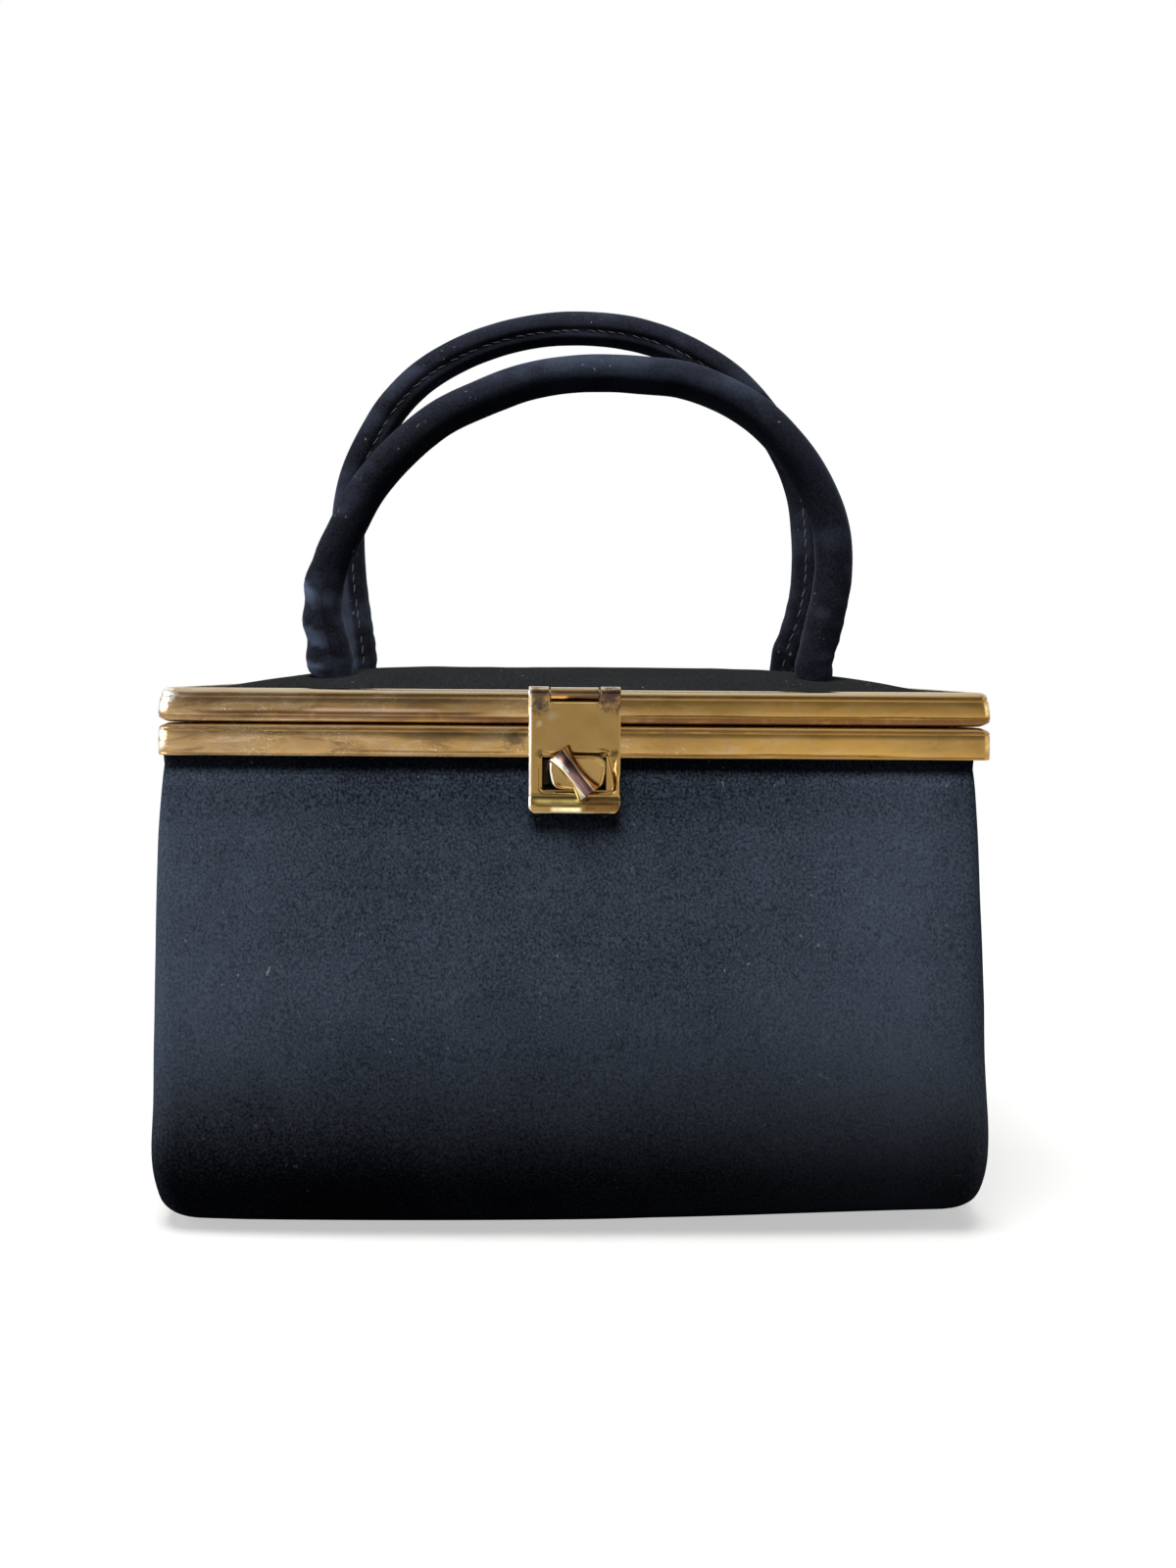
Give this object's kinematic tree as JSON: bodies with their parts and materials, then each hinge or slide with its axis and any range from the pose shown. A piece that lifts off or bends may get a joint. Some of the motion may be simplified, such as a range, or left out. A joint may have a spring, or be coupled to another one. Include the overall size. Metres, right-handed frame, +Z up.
{
  "type": "box purse",
  "caption": "Hard box purse in dark satin with a hinged padded lid, a plated two-bar frame, a turn-lock hasp and a pair of padded handles.",
  "frame": {"origin": "middle of the flat base panel, on the surface that the purse stands on", "axes": "+X to the right of someone facing the clasp, -Y out of the front, where the clasp is, +Z up"},
  "size_m": [0.224, 0.1023, 0.2652],
  "materials": {
    "satin": "fine-grained matt satin over thin wadding",
    "satin_handle": "fine-grained matt satin, stitched",
    "lining": "plain woven",
    "wadding": "soft",
    "board": "matt",
    "plated": "polished, worn",
    "pin_metal": "drawn",
    "inner_steel": "plain"
  },
  "bodies": {
    "case": {"body_board": "board", "body_cover": "satin", "base_panel": "satin", "body_lining": "lining", "lining_pocket": "lining", "lower_frame": "plated", "rear_hinge_lower": "plated", "rear_hinge_pin": "pin_metal", "turnlock_base": "plated", "turnlock_backplate": "inner_steel"},
    "knob": {"knob_head": "plated", "knob_shaft": "pin_metal", "knob_washer": "inner_steel"},
    "lid": {"lid_board": "board", "lid_padding": "wadding", "lid_cover": "satin", "lid_lining": "lining", "upper_frame": "plated", "rear_hinge_upper": "plated", "hasp_hinge_leaf": "plated", "hasp_hinge_pin": "pin_metal", "handle_feet": "satin_handle", "anchor_plates": "inner_steel", "anchor_rivets": "pin_metal"},
    "hasp": {"hasp_plate": "plated"},
    "front_handle": {"front_handle_cover": "satin_handle", "front_handle_core": "wadding"},
    "rear_handle": {"rear_handle_cover": "satin_handle", "rear_handle_core": "wadding"}
  },
  "joints": [
    {"name": "lid_hinge", "type": "hinge", "parent": "case", "child": "lid", "pos_m": [0, 0.04685, 0.13885], "axis": [-1, 0, 0], "range_deg": [0, 100]},
    {"name": "hasp_hinge", "type": "hinge", "parent": "lid", "child": "hasp", "pos_m": [0, -0.04695, 0.14711], "axis": [-1, 0, 0], "range_deg": [0, 178]},
    {"name": "knob_turn", "type": "hinge", "parent": "case", "child": "knob", "pos_m": [0, -0.048, 0.12651], "axis": [0, -1, 0], "range_deg": [-37.5, 52.5]},
    {"name": "front_handle_tilt", "type": "hinge", "parent": "lid", "child": "front_handle", "pos_m": [0, -0.02, 0.1565], "axis": [-1, 0, 0], "range_deg": [-40, 12], "stiffness_Nm_per_rad": 0.08},
    {"name": "rear_handle_tilt", "type": "hinge", "parent": "lid", "child": "rear_handle", "pos_m": [0, 0.02, 0.1565], "axis": [-1, 0, 0], "range_deg": [-12, 40], "stiffness_Nm_per_rad": 0.08}
  ]
}
